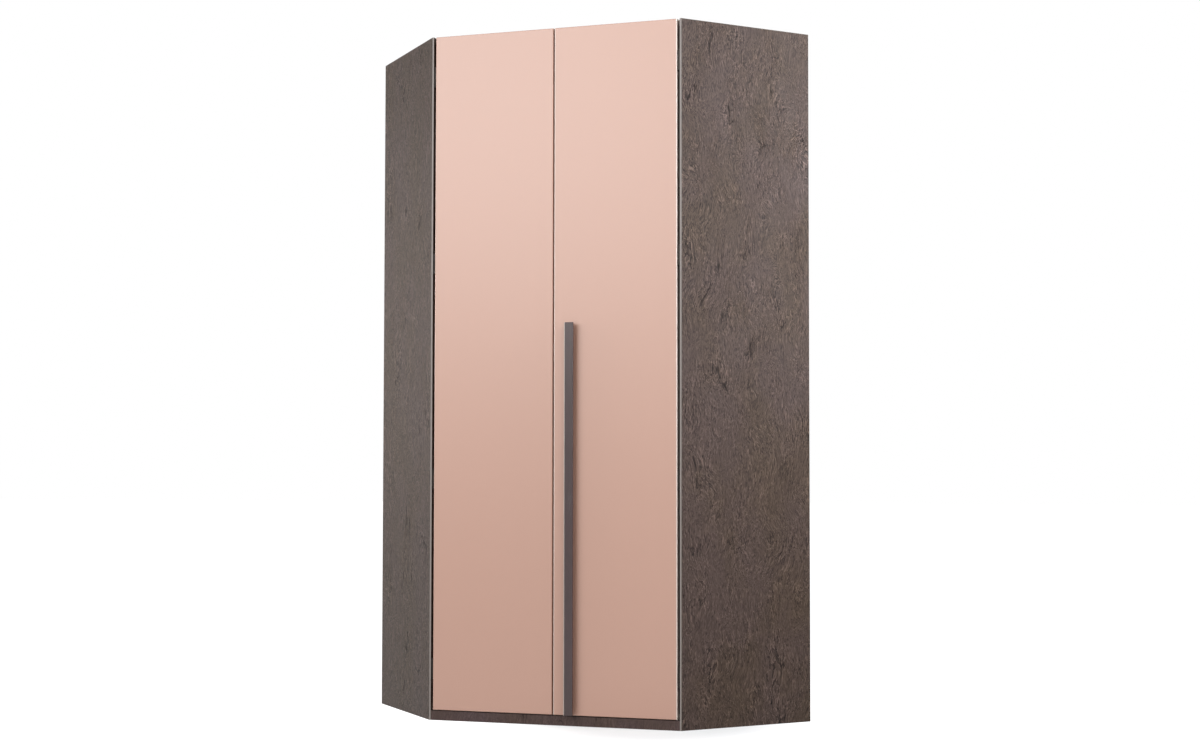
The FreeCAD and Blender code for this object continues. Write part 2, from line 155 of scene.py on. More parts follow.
class Graph:
    """The node tree of one material or world, with one method that adds any node."""

    def __init__(self, tree: bpy.types.NodeTree) -> None:
        """Empties the tree.

        Args:
            tree: Node tree of a material or world.
        """
        tree.nodes.clear()
        self.tree = tree
        self._place: Optional[Expr] = None

    def node(self, kind: str, settings: Optional[Mapping[str, object]] = None,
             inputs: Optional[Mapping[Union[str, int], object]] = None, output: Union[str, int] = 0) -> Expr:
        """Adds a node.

        Args:
            kind: Blender's type name of the node.
            settings: Properties, set before anything is linked.
            inputs: Values or links, by socket name or number.
            output: Name or number of the socket that is returned.
        Returns:
            The chosen output, or an empty expression for a node without one.
        """
        made = self.tree.nodes.new(kind)
        for name, value in (settings or {}).items():
            setattr(made, name, value)
        for key, value in (inputs or {}).items():
            if isinstance(value, Expr):
                self.tree.links.new(value.socket, made.inputs[key])
            else:
                made.inputs[key].default_value = value
        return Expr(self, made.outputs[output] if len(made.outputs) else None)

    @property
    def place(self) -> Expr:
        """Object coordinates.

        Returns:
            The coordinates, in metres.
        """
        if self._place is None:
            self._place = self.node("ShaderNodeTexCoord", output="Object")
        return self._place

    def axis(self, name: str) -> Expr:
        """One of the coordinates X, Y and Z."""
        return self.node("ShaderNodeSeparateXYZ", inputs={0: self.place}, output=name)

    def vector(self, operation: str, first: Union[Expr, Triple], second: Union[Expr, Triple]) -> Expr:
        """Vector math on two vectors."""
        return self.node("ShaderNodeVectorMath", {"operation": operation}, {0: first, 1: second})

    def noise(self, layer: Layer, place: Optional[Expr] = None, output: str = "Fac") -> Expr:
        """Cloudy noise about its middle value.

        Args:
            layer: Its repeats, detail and seed.
            place: Coordinates that it lies on, where these aren't the plain ones.
            output: Fac for one value, or Color for three that differ.
        Returns:
            The noise.
        """
        scaled = self.vector("MULTIPLY", self.place if place is None else place, layer.repeats)
        inputs = {"Vector": scaled, "W": layer.seed, "Scale": 1.0, "Detail": layer.detail,
                  "Roughness": layer.rough}
        return self.node("ShaderNodeTexNoise", {"noise_dimensions": "4D"}, inputs, output)

    def drift(self, layer: Layer, place: Optional[Expr] = None) -> Expr:
        """Cloudy noise about 0."""
        return self.noise(layer, place) - NOISE_MIDDLE

    def bent(self, layer: Layer, reach: float) -> Expr:
        """Object coordinates pushed to and fro, so that straight grain laid on them fans and curls.

        Args:
            layer: Noise that gives the push.
            reach: Farthest push, in metres.
        Returns:
            The bent coordinates, in metres.
        """
        push = self.vector("SUBTRACT", self.noise(layer, output="Color"), (NOISE_MIDDLE,) * 3)
        return self.vector("ADD", self.place, self.vector("MULTIPLY", push, (2 * reach,) * 3))

    def step(self, value: Number, low: float, high: float) -> Expr:
        """Smooth step from 0 at the low value to 1 at the high one."""
        inputs = {"Value": value, "From Min": low, "From Max": high}
        return self.node("ShaderNodeMapRange", {"interpolation_type": "SMOOTHSTEP"}, inputs)

    def mix(self, factor: Number, first: Paint, second: Paint, blend: str = "MIX") -> Expr:
        """Colour mixed from two, set by socket numbers, since a Mix node's sockets share their names.

        Args:
            factor: Share of the second colour.
            first: Colour at a share of 0.
            second: Colour at a share of 1.
            blend: Blender's name of the way of mixing.
        Returns:
            The mixed colour.
        """
        paints = [paint if isinstance(paint, Expr) else (*paint, 1.0) for paint in (first, second)]
        settings = {"data_type": "RGBA", "blend_type": blend}
        return self.node("ShaderNodeMix", settings, {0: factor, 6: paints[0], 7: paints[1]}, output=2)

    def shade(self, colour: Paint, amount: Number) -> Expr:
        """Colour made lighter or darker.

        Args:
            colour: The colour.
            amount: Its factor, where 1 leaves it as it is.
        Returns:
            The shaded colour.
        """
        grey = self.node("ShaderNodeCombineXYZ", inputs={0: amount, 1: amount, 2: amount})
        paint = colour if isinstance(colour, Expr) else tuple(colour)
        return self.vector("MULTIPLY", paint, grey)


# Finishes


@dataclass(frozen=True)
class Surface:
    """What a finish hands to its shader: what varies over the surface, and what is the same all over."""

    colour: Paint
    roughness: Number
    relief: Expr
    relief_depth: float
    metallic: float = 0.0
    specular: float = 0.5
    coat: float = 0.0
    coat_roughness: float = 0.1
    transmission: float = 0.0


@dataclass(frozen=True)
class Finish(ABC):
    """A finish that can make its own material."""

    name: str

    @abstractmethod
    def surface(self, graph: Graph) -> Surface:
        """Works out what the shader gets.

        Args:
            graph: Node tree of the material.
        Returns:
            What the shader gets.
        """

    def material(self) -> bpy.types.Material:
        """Makes the material.

        Returns:
            A material with one principled shader and a bump.
        """
        made = bpy.data.materials.new(self.name)
        made.use_nodes = True
        graph = Graph(made.node_tree)
        look = self.surface(graph)
        colour = look.colour if isinstance(look.colour, Expr) else (*look.colour, 1.0)
        bump = {"Height": look.relief, "Distance": look.relief_depth, "Strength": 1.0}
        inputs = {"Base Color": colour, "Roughness": look.roughness, "Metallic": look.metallic,
                  "Specular IOR Level": look.specular, "Coat Weight": look.coat,
                  "Coat Roughness": look.coat_roughness, "Transmission Weight": look.transmission,
                  "Normal": graph.node("ShaderNodeBump", inputs=bump)}
        shader = graph.node("ShaderNodeBsdfPrincipled", inputs=inputs)
        graph.node("ShaderNodeOutputMaterial", inputs={"Surface": shader})
        return made


@dataclass(frozen=True)
class SlateDecor(Finish):
    """Slate-look foil: fanned wisps that come and go, short dark fissures, and cool and warm clouds."""

    base: Colour = (0.0618, 0.0425, 0.0338)
    cool: Colour = (1.0, 0.985, 1.045)
    warm: Colour = (1.025, 1.005, 0.92)
    cloud_layer: Layer = Layer((8.0, 8.0, 4.5), detail=3.0, seed=1.7)
    patch_layer: Layer = Layer((15.0, 15.0, 8.0), detail=3.0, seed=5.1)
    bend_layer: Layer = Layer((7.0, 7.0, 5.0), detail=1.0, seed=7.3)
    wisp_layer: Layer = Layer((190.0, 190.0, 24.0), seed=2.3)
    fleck_layer: Layer = Layer((340.0, 340.0, 90.0), rough=0.6, seed=4.9)
    streak_layer: Layer = Layer((95.0, 95.0, 7.0), detail=3.0, rough=0.6, seed=8.9)
    fissure_layer: Layer = Layer((30.0, 30.0, 4.0), detail=3.0, rough=0.6, seed=3.4)
    bend_reach: float = 0.07
    tint_span: Pair = (0.3, 0.7)
    light_level: float = 0.53
    dark_level: float = 0.45
    wisp_width: float = 0.036
    wisp_span: Pair = (0.36, 0.62)
    faintest_wisp: float = 0.4
    fissure_width: Pair = (0.004, 0.024)
    fissure_span: Pair = (0.575, 0.635)
    wisp: float = 1.4
    dark_side: float = 0.55
    fleck: float = 2.2
    streak: float = 0.4
    cloud: float = 0.35
    fissure: float = 0.72
    darkest: float = 0.25
    roughness: float = 0.45
    grain_gloss: float = 0.06
    fissure_roughness: float = 0.15
    specular: float = 0.10
    grain_relief: float = 0.25
    streak_relief: float = 0.2
    fissure_relief: float = 0.5
    relief_depth: float = 0.0009

    def surface(self, graph: Graph) -> Surface:
        """Lays the wisps, each with its dark side, the flecks, streaks and fissures over the clouds.

        Args:
            graph: Node tree of the material.
        Returns:
            What the shader gets.
        """
        cloud = graph.noise(self.cloud_layer)
        patch = graph.noise(self.patch_layer)
        bent = graph.bent(self.bend_layer, self.bend_reach)
        field = graph.noise(self.wisp_layer, bent)
        light = 1 - graph.step(abs(field - self.light_level), 0.0, self.wisp_width)
        dark = 1 - graph.step(abs(field - self.dark_level), 0.0, self.wisp_width)
        strength = graph.step(patch, *self.wisp_span) * (1 - self.faintest_wisp) + self.faintest_wisp
        wisp = (light - dark * self.dark_side) * self.wisp * strength
        grain = wisp + graph.drift(self.fleck_layer, bent) * self.fleck
        streak = graph.drift(self.streak_layer, bent)
        line = 1 - graph.step(abs(graph.drift(self.fissure_layer, bent)), *self.fissure_width)
        fissure = line * graph.step(patch, *self.fissure_span)
        tone = 1 + grain + streak * self.streak + (cloud - NOISE_MIDDLE) * self.cloud
        tone = tone.greatest(self.darkest) * (1 - fissure * self.fissure)
        tint = graph.mix(graph.step(cloud, *self.tint_span), self.warm, self.cool)
        colour = graph.shade(graph.mix(1.0, self.base, tint, "MULTIPLY"), tone)
        relief = grain * self.grain_relief + streak * self.streak_relief - fissure * self.fissure_relief
        rough = self.roughness - grain * self.grain_gloss + fissure * self.fissure_roughness
        return Surface(colour, rough, relief, self.relief_depth, specular=self.specular)


@dataclass(frozen=True)
class SatinLacquer(Finish):
    """Satin lacquer on a board: even colour, faint clouds, and the soft ripple of a sprayed coat."""

    base: Colour = (0.477, 0.2595, 0.187)
    cloud_layer: Layer = Layer((3.1, 3.1, 1.6), detail=3.0, seed=4.4)
    mist_layer: Layer = Layer((38.0, 38.0, 30.0), detail=3.0, rough=0.6, seed=6.0)
    ripple_layer: Layer = Layer((260.0, 260.0, 260.0), detail=1.0, rough=0.4, seed=1.1)
    cloud: float = 0.025
    roughness: float = 0.42
    mist_roughness: float = 0.08
    specular: float = 0.8
    coat: float = 1.0
    coat_roughness: float = 0.42
    ripple_depth: float = 0.00003

    def surface(self, graph: Graph) -> Surface:
        """Adds faint clouds and the ripple to the even colour.

        Args:
            graph: Node tree of the material.
        Returns:
            What the shader gets.
        """
        mist = graph.drift(self.mist_layer)
        tone = 1 + graph.drift(self.cloud_layer) * self.cloud + mist * self.cloud
        rough = self.roughness + mist * self.mist_roughness
        return Surface(graph.shade(self.base, tone), rough, graph.noise(self.ripple_layer), self.ripple_depth,
                       specular=self.specular, coat=self.coat, coat_roughness=self.coat_roughness)


@dataclass(frozen=True)
class EdgeStrip(Finish):
    """Plastic edge strip with fine lines along it, brown where it's cut flush; its front face is painted pale
    as a highlight of the lit panel corner.
    """

    # The pale base of the front face is a painted highlight; the flush colour is the foil's own.
    base: Colour = (0.26, 0.228, 0.208)
    flush: Colour = (0.070, 0.050, 0.039)
    line_layer: Layer = Layer((900.0, 900.0, 4.0), seed=2.0)
    speck_layer: Layer = Layer((150.0, 150.0, 60.0), seed=7.0)
    highlight_facing_span: Pair = (0.85, 0.95)
    line: float = 0.15
    speck: float = 0.12
    roughness: float = 0.45
    speck_roughness: float = 0.1
    relief_depth: float = 0.00005

    def surface(self, graph: Graph) -> Surface:
        """Chooses by the way the strip faces, painting the side that faces front pale as a highlight, and
        adds the fine lines that its roller leaves.

        Args:
            graph: Node tree of the material.
        Returns:
            What the shader gets.
        """
        facing = graph.node("ShaderNodeTexCoord", output="Normal")
        front = 0 - graph.node("ShaderNodeSeparateXYZ", inputs={0: facing}, output="Y")
        base = graph.mix(graph.step(front, *self.highlight_facing_span), self.flush, self.base)
        line = graph.drift(self.line_layer)
        speck = graph.drift(self.speck_layer)
        colour = graph.shade(base, 1 + line * self.line + speck * self.speck)
        return Surface(colour, self.roughness + speck * self.speck_roughness, line, self.relief_depth)


@dataclass(frozen=True)
class PaintedEdgeHighlight(Finish):
    """Another finish, with pale lines painted along upright edges as highlights where the edges catch the
    light.
    """

    inner: Finish
    edges: tuple[float, ...]
    pale: Colour
    width: float = 0.003
    blur: float = 0.2

    def surface(self, graph: Graph) -> Surface:
        """Lightens the finish where X is within the width of an edge, as a painted highlight.

        Args:
            graph: Node tree of the material.
        Returns:
            What the shader gets.
        """
        look = self.inner.surface(graph)
        across = graph.axis("X")
        colour = look.colour
        for edge in self.edges:
            away = abs(across - edge)
            highlighted = 1 - graph.step(away, self.width * (1 - self.blur), self.width * (1 + self.blur))
            # Painted highlight mixed in along each edge.
            colour = graph.mix(highlighted, colour, self.pale)
        return replace(look, colour=colour)


@dataclass(frozen=True)
class LinenMelamine(Finish):
    """Pale melamine with a woven print: crossed threads of uneven strength."""

    base: Colour = (0.60, 0.555, 0.50)
    warp_layer: Layer = Layer((340.0, 9.0, 9.0), detail=1.0, seed=1.0)
    weft_layer: Layer = Layer((9.0, 340.0, 9.0), detail=1.0, seed=2.0)
    upright_layer: Layer = Layer((9.0, 9.0, 340.0), detail=1.0, seed=3.0)
    slub_layer: Layer = Layer((14.0, 14.0, 14.0), detail=3.0, seed=4.0)
    weave: float = 0.16
    slub: float = 0.08
    roughness: float = 0.5
    weave_roughness: float = 0.08
    relief_depth: float = 0.00008

    def surface(self, graph: Graph) -> Surface:
        """Crosses two sets of threads that lie flat, and a third that stands upright.

        Args:
            graph: Node tree of the material.
        Returns:
            What the shader gets.
        """
        weave = graph.drift(self.warp_layer) + graph.drift(self.weft_layer) + graph.drift(self.upright_layer)
        tone = 1 + weave * self.weave + graph.drift(self.slub_layer) * self.slub
        rough = self.roughness + weave * self.weave_roughness
        return Surface(graph.shade(self.base, tone), rough, weave, self.relief_depth)


@dataclass(frozen=True)
class TwoToneBack(Finish):
    """Thin fibreboard: raw and brown towards the walls, with a pale film on the room side."""

    raw: Colour = (0.235, 0.135, 0.072)
    film: Colour = (0.56, 0.52, 0.47)
    fibre_layer: Layer = Layer((260.0, 260.0, 230.0), detail=4.0, rough=0.7, seed=1.3)
    blotch_layer: Layer = Layer((11.0, 11.0, 9.0), detail=4.0, rough=0.6, seed=6.6)
    thread_layer: Layer = Layer((330.0, 330.0, 8.0), detail=1.0, seed=2.8)
    corner_y: float = CAD_BOX[1].y
    film_depth: float = 0.0062
    film_blur: float = 0.0004
    fibre: float = 0.9
    thread: float = 0.14
    raw_blotch: float = 0.35
    film_blotch: float = 0.06
    raw_roughness: float = 0.78
    film_gloss: float = 0.28
    fibre_roughness: float = 0.1
    thread_relief: float = 0.3
    relief_depth: float = 0.00025

    def surface(self, graph: Graph) -> Surface:
        """Chooses by the distance from the nearer wall, and adds fibres and the film's print.

        Args:
            graph: Node tree of the material.
        Returns:
            What the shader gets.
        """
        across = (self.corner_y - graph.axis("Y") - abs(graph.axis("X"))) * math.sqrt(0.5)
        inside = graph.step(across, self.film_depth - self.film_blur, self.film_depth + self.film_blur)
        fibre = graph.drift(self.fibre_layer)
        blotch = graph.drift(self.blotch_layer)
        thread = graph.drift(self.thread_layer)
        raw = graph.shade(self.raw, 1 + fibre * self.fibre + blotch * self.raw_blotch)
        film = graph.shade(self.film, 1 + thread * self.thread + blotch * self.film_blotch)
        rough = self.raw_roughness - inside * self.film_gloss + fibre * self.fibre_roughness
        relief = fibre * (1 - inside) + thread * inside * self.thread_relief
        return Surface(graph.mix(inside, raw, film), rough, relief, self.relief_depth)


@dataclass(frozen=True)
class Softwood(Finish):
    """Planed softwood: growth lines along the piece, darker late wood and fine pores."""

    early: Colour = (0.52, 0.34, 0.17)
    late: Colour = (0.36, 0.19, 0.075)
    ring_layer: Layer = Layer((130.0, 150.0, 4.0), detail=3.0, rough=0.55, seed=9.2)
    pore_layer: Layer = Layer((700.0, 700.0, 26.0), seed=3.0)
    ring_span: Pair = (0.44, 0.62)
    pore: float = 0.35
    roughness: float = 0.6
    ring_gloss: float = 0.1
    pore_roughness: float = 0.1
    pore_relief: float = 0.4
    relief_depth: float = 0.00015

    def surface(self, graph: Graph) -> Surface:
        """Draws the late wood where stretched noise is high, with pores over it.

        Args:
            graph: Node tree of the material.
        Returns:
            What the shader gets.
        """
        ring = graph.step(graph.noise(self.ring_layer), *self.ring_span)
        pore = graph.drift(self.pore_layer)
        colour = graph.shade(graph.mix(ring, self.early, self.late), 1 + pore * self.pore)
        rough = self.roughness - ring * self.ring_gloss + pore * self.pore_roughness
        return Surface(colour, rough, ring + pore * self.pore_relief, self.relief_depth)


@dataclass(frozen=True)
class Metal(Finish):
    """Metal with fine brushing along one direction and a faint bloom."""

    base: Colour
    roughness: float
    brush_repeats: Triple = (40.0, 700.0, 700.0)
    bloom_layer: Layer = Layer((60.0, 60.0, 60.0), detail=3.0, rough=0.6, seed=7.7)
    brush: float = 0.12
    bloom: float = 0.16
    bloom_roughness: float = 0.1
    metallic: float = 1.0
    relief_depth: float = 0.00003

    def surface(self, graph: Graph) -> Surface:
        """Varies colour and roughness with the brushing and the bloom.

        Args:
            graph: Node tree of the material.
        Returns:
            What the shader gets.
        """
        brush = graph.drift(Layer(self.brush_repeats, rough=0.6, seed=1.9))
        bloom = graph.drift(self.bloom_layer)
        tone = 1 + brush * self.brush + bloom * self.bloom
        rough = self.roughness + brush * self.brush + bloom * self.bloom_roughness
        return Surface(graph.shade(self.base, tone), rough, brush, self.relief_depth, metallic=self.metallic)


@dataclass(frozen=True)
class MouldedPlastic(Finish):
    """Moulded plastic with a fine spark-eroded grain."""

    base: Colour = (0.02, 0.02, 0.021)
    grain_layer: Layer = Layer((900.0, 900.0, 900.0), rough=0.6, seed=5.5)
    rub_layer: Layer = Layer((45.0, 45.0, 45.0), detail=3.0, seed=2.2)
    grain: float = 0.3
    rub: float = 0.4
    roughness: float = 0.48
    rub_roughness: float = 0.16
    relief_depth: float = 0.00006
    transmission: float = 0.0

    def surface(self, graph: Graph) -> Surface:
        """Adds the mould's grain to colour and relief, and rubbed places to colour and roughness.

        Args:
            graph: Node tree of the material.
        Returns:
            What the shader gets.
        """
        grain = graph.drift(self.grain_layer)
        rub = graph.drift(self.rub_layer)
        tone = 1 + rub * self.rub + grain * self.grain
        return Surface(graph.shade(self.base, tone), self.roughness + rub * self.rub_roughness, grain,
                       self.relief_depth, transmission=self.transmission)


# Turned pieces


def solids_of(node: str, count: int) -> np.ndarray:
    """Corner points of a node's equal solids.

    Args:
        node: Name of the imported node.
        count: Number of solids in it.
    Returns:
        Array of solid by corner by coordinate.
    """
    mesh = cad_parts[node].data
    points = np.empty(len(mesh.vertices) * 3)
    mesh.vertices.foreach_get("co", points)
    return points.reshape(count, -1, 3)


def boxes_of(node: str, count: int) -> tuple[np.ndarray, np.ndarray]:
    """Lowest and highest corners of each of a node's equal solids."""
    points = solids_of(node, count)
    return points.min(axis=1), points.max(axis=1)


def crossed_slots(width: float, reach: float, depth: float) -> Recess:
    """A recess shaped as two crossed slots.

    The depth is added where the smaller of |x| and |y| is under half the width and the radius is under
    the reach, with a short slope at the rim.

    Args:
        width: Width of a slot.
        reach: Radius at which the slots end.
        depth: Depth of the slots.
    Returns:
        A function of radius and angle arrays that gives the added depth.
    """
    def added(radius: np.ndarray, angle: np.ndarray) -> np.ndarray:
        """Depth of the slots.

        Args:
            radius: Distances from the axis.
            angle: Angles round the axis.
        Returns:
            The depth added at each radius and angle.
        """
        narrow = np.minimum(np.abs(radius * np.cos(angle)), np.abs(radius * np.sin(angle)))
        slope = width / 4
        across = np.clip((width / 2 - narrow) / slope, 0.0, 1.0)
        along = np.clip((reach - radius) / slope, 0.0, 1.0)
        return depth * across * along
    return added


def smooth_piece(name: str, points: np.ndarray, faces: Sequence[Sequence[int]]) -> bpy.types.Object:
    """An object of closed surfaces, smooth apart from its sharp edges.

    Args:
        name: Name of the object.
        points: Corner points, one row each.
        faces: Corners of each face.
    Returns:
        The object, with all faces outward.
    """
    mesh = bpy.data.meshes.new(name)
    mesh.from_pydata(points.tolist(), [], faces)
    shape = bmesh.new()
    shape.from_mesh(mesh)
    bmesh.ops.recalc_face_normals(shape, faces=shape.faces)
    shape.to_mesh(mesh)
    shape.free()
    mesh.polygons.foreach_set("use_smooth", np.ones(len(mesh.polygons), dtype=bool))
    mesh.set_sharp_from_angle(angle=SHARP_ANGLE)
    made = bpy.data.objects.new(name, mesh)
    bpy.context.scene.collection.objects.link(made)
    return made


def turned(name: str, profile: np.ndarray, tops: np.ndarray, axes: np.ndarray, segments: int = 32,
           recess: Optional[Recess] = None) -> bpy.types.Object:
    """Turned pieces set on many axes at once, as one mesh.

    Point = top + axis * (depth(t) + recess) + (side * cos(a) + across * sin(a)) * radius(t), where t runs
    along the profile and a runs round the axis.

    Args:
        name: Name of the object.
        profile: Radius and depth along the profile, one row for each ring.
        tops: Start of each axis.
        axes: Direction of each axis, pointing into the piece.
        segments: Points round each ring.
        recess: Depth added at a radius and an angle, on the rings of the first face.
    Returns:
        The object, closed and with smooth turned faces.
    """
    angle = np.arange(segments) * (2 * math.pi / segments)
    radius, depth = profile[:, 0], profile[:, 1]
    upright = np.abs(axes[:, 2:3]) > NEAR_UPRIGHT
    side = np.cross(axes, np.where(upright, X_WAY, Z_WAY))
    side /= np.linalg.norm(side, axis=1, keepdims=True)
    across = np.cross(axes, side)
    ring = side[:, None, :] * np.cos(angle)[None, :, None] + across[:, None, :] * np.sin(angle)[None, :, None]
    deep = np.repeat(depth[:, None], segments, axis=1)
    if recess is not None:
        face = (np.arange(len(radius)) < int(np.argmax(radius)))[:, None]
        deep = deep + face * recess(radius[:, None], angle[None, :])
    points = (tops[:, None, None, :] + axes[:, None, None, :] * deep[None, :, :, None]
              + ring[:, None, :, :] * radius[None, :, None, None]).reshape(-1, 3)
    count, rings = len(tops), len(radius)
    start = (np.arange(count) * rings * segments)[:, None, None]
    row = (np.arange(rings - 1) * segments)[None, :, None]
    here = np.arange(segments)[None, None, :]
    after = (here + 1) % segments
    quads = np.stack([start + row + here, start + row + after, start + row + segments + after,
                      start + row + segments + here], axis=-1).reshape(-1, 4)
    mouths = (start[:, 0] + here[0]).tolist()
    feet = (start[:, 0] + (rings - 1) * segments + here[0]).tolist()
    return smooth_piece(name, points, quads.tolist() + mouths + feet)


def oval_tube(name: str, low: np.ndarray, high: np.ndarray, wall: float,
              segments: int = 48) -> bpy.types.Object:
    """Oval tube along X that fills a box.

    Point = (x, middle y + radius * cos(a), middle z + radius * sin(a) + flat * sign(sin(a))), where a runs
    round the oval and flat is half its straight side. The rings run outside from end to end, then back
    inside. The angles start half a step round, so that no point lies on the change of sign.

    Args:
        name: Name of the object.
        low: Lowest corner of the box.
        high: Highest corner of the box.
        wall: Thickness of the tube.
        segments: Points round each ring.
    Returns:
        The object, closed and with a smooth round.
    """
    angle = (np.arange(segments) + 0.5) * (2 * math.pi / segments)
    middle, half = (low + high) / 2, (high - low) / 2
    radius = half[1] - np.array([0.0, 0.0, wall, wall])
    ends = np.array([low[0], high[0], high[0], low[0]])
    across = middle[1] + radius[:, None] * np.cos(angle)
    upward = middle[2] + radius[:, None] * np.sin(angle) + (half[2] - half[1]) * np.sign(np.sin(angle))
    points = np.stack([np.repeat(ends[:, None], segments, axis=1), across, upward], axis=-1).reshape(-1, 3)
    row = (np.arange(len(ends)) * segments)[:, None]
    beyond = np.roll(row, -1, axis=0)
    here = np.arange(segments)[None, :]
    after = (here + 1) % segments
    quads = np.stack([row + here, row + after, beyond + after, beyond + here], axis=-1).reshape(-1, 4)
    return smooth_piece(name, points, quads.tolist())


def settle(piece: bpy.types.Object, body: Body, node: str, material: bpy.types.Material) -> None:
    """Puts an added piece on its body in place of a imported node.

    Args:
        piece: The added piece.
        body: Body that it moves with.
        node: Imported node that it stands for.
        material: Its finish.
    """
    piece.data.materials.append(material)
    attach(piece, body.value)
    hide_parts(node)
    log.info("piece %s on %s for %s", piece.name, body.value, node)


def paint(material: bpy.types.Material, nodes: Sequence[str]) -> None:
    """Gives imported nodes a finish.

    Args:
        material: The finish.
        nodes: Names of the nodes.
    """
    for node in nodes:
        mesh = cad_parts[node].data
        mesh.materials.clear()
        mesh.materials.append(material)
        log.info("finish %s on %s", material.name, node)


# Sub-assemblies


def sides(name: str) -> list[str]:
    """Left and right node of a pair."""
    return ["left_" + name, "right_" + name]


@dataclass
class Carcass:
    """Boards, edge strips and backs."""

    slate: Finish = SlateDecor("slate_decor")
    plinth: Finish = SlateDecor("slate_plinth", base=(0.088, 0.061, 0.057), wisp=0.5, fleck=0.8)
    edge: Finish = EdgeStrip("edge_strip_painted_highlight")
    inner: Finish = LinenMelamine("linen_melamine")
    back: Finish = TwoToneBack("two_tone_back")
    wood: Finish = Softwood("planed_softwood")

    def dress(self) -> None:
        """Gives every board its finish."""
        paint(self.slate.material(), sides("side_panel"))
        paint(self.plinth.material(), ["plinth_board"])
        paint(self.edge.material(), sides("edge_trim"))
        paint(self.inner.material(), ["top_panel", "bottom_panel", "hat_shelf"])
        paint(self.back.material(), sides("back_panel"))
        paint(self.wood.material(), ["rear_corner_post", "dowels"] + sides("plinth_block"))


@dataclass
class Doors:
    """Two lacquered doors, their buffers, and the handle strip."""

    lacquer: Finish = SatinLacquer("rose_satin_lacquer")
    strip: Finish = SlateDecor("slate_handle_foil", base=(0.034, 0.015, 0.015), streak=0.9, wisp=0.15,
                              fleck=0.3, fissure=0.3, roughness=0.31, specular=0.60)
    # Pale colours painted along the right door's edges and the handle's left edge as highlights.
    door_edge_highlight: Colour = (0.68, 0.55, 0.48)
    handle_edge_highlight: Colour = (0.42, 0.36, 0.32)
    rubber: Finish = MouldedPlastic("clear_buffer", base=(0.72, 0.72, 0.70), roughness=0.35,
                                    transmission=0.6)
    buffers: int = 2
    rim: float = 0.0008
    rim_rings: int = 6
    face_start: float = 0.25

    def build(self) -> None:
        """Turns a buffer on each packed one: radius and depth follow a quarter circle at the rim."""
        material = self.rubber.material()
        for body, node in zip((Body.LEFT_DOOR, Body.RIGHT_DOOR), sides("door_buffers")):
            low, high = boxes_of(node, self.buffers)
            radius = float((high - low)[0, 2]) / 2
            thick = float((high - low)[0, 1])
            turn = np.linspace(0.0, math.pi / 2, self.rim_rings)
            dome = np.stack([radius - self.rim * (1 - np.sin(turn)), self.rim * (1 - np.cos(turn))], axis=1)
            profile = np.vstack([[[radius * self.face_start, 0.0]], dome, [[radius, thick]]])
            tops = (low + high) / 2
            tops[:, 1] = high[:, 1]
            axes = np.tile(-Y_WAY, (len(tops), 1))
            settle(turned(node + "_dome", profile, tops, axes), body, node, material)

    def dress(self) -> None:
        """Gives doors and handle their finishes, with painted highlights along the edges of the right door
        and the left edge of the handle.
        """
        paint(self.lacquer.material(), ["left_door_panel"])
        edges = tuple(float(corner[0, 0]) for corner in boxes_of("right_door_panel", 1))
        door = PaintedEdgeHighlight("rose_satin_painted_edge_highlights", self.lacquer, edges, self.door_edge_highlight)
        paint(door.material(), ["right_door_panel"])
        left = float(boxes_of("handle", 1)[0][0, 0])
        handle = PaintedEdgeHighlight("slate_handle_painted_edge_highlight", self.strip, (left,), self.handle_edge_highlight)
        paint(handle.material(), ["handle"])


@dataclass
class Hinges:
    """Arms, leaves and pins of the eight hinges."""

    bronze: Finish = Metal("dark_bronze", base=(0.022, 0.017, 0.014), roughness=0.42, metallic=0.7)
    pin: Finish = Metal("pin_steel", base=(0.035, 0.030, 0.026), roughness=0.35)
    number: int = 4

    def dress(self) -> None:
        """Gives the plates and pins their finishes."""
        numbers = range(1, self.number + 1)
        plates = [name for part in ("hinge_arm", "hinge_leaf") for number in numbers
                  for name in sides("%s_%d" % (part, number))]
        paint(self.bronze.material(), plates)
        paint(self.pin.material(), sides("hinge_pins"))


@dataclass
class HangingRail:
    """Oval rail, its caps and its brackets."""

    chrome: Finish = Metal("rail_chrome", base=(0.36, 0.355, 0.35), roughness=0.24, brush=0.05)
    nickel: Finish = Metal("bracket_nickel", base=(0.55, 0.54, 0.52), roughness=0.34,
                           brush_repeats=(500.0, 500.0, 40.0))
    cap: Finish = MouldedPlastic("cap_plastic", base=(0.10, 0.10, 0.10))
    wall: float = 0.0014

    def build(self) -> None:
        """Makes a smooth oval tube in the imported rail's box."""
        low, high = boxes_of("hanging_rail", 1)
        tube = oval_tube("hanging_rail_tube", low[0], high[0], self.wall)
        settle(tube, Body.CARCASS, "hanging_rail", self.chrome.material())

    def dress(self) -> None:
        """Gives the caps and brackets their finishes."""
        paint(self.nickel.material(), ["%s_rail_bracket" % place for place in ("left", "middle", "right")])
        paint(self.cap.material(), sides("rail_cap"))


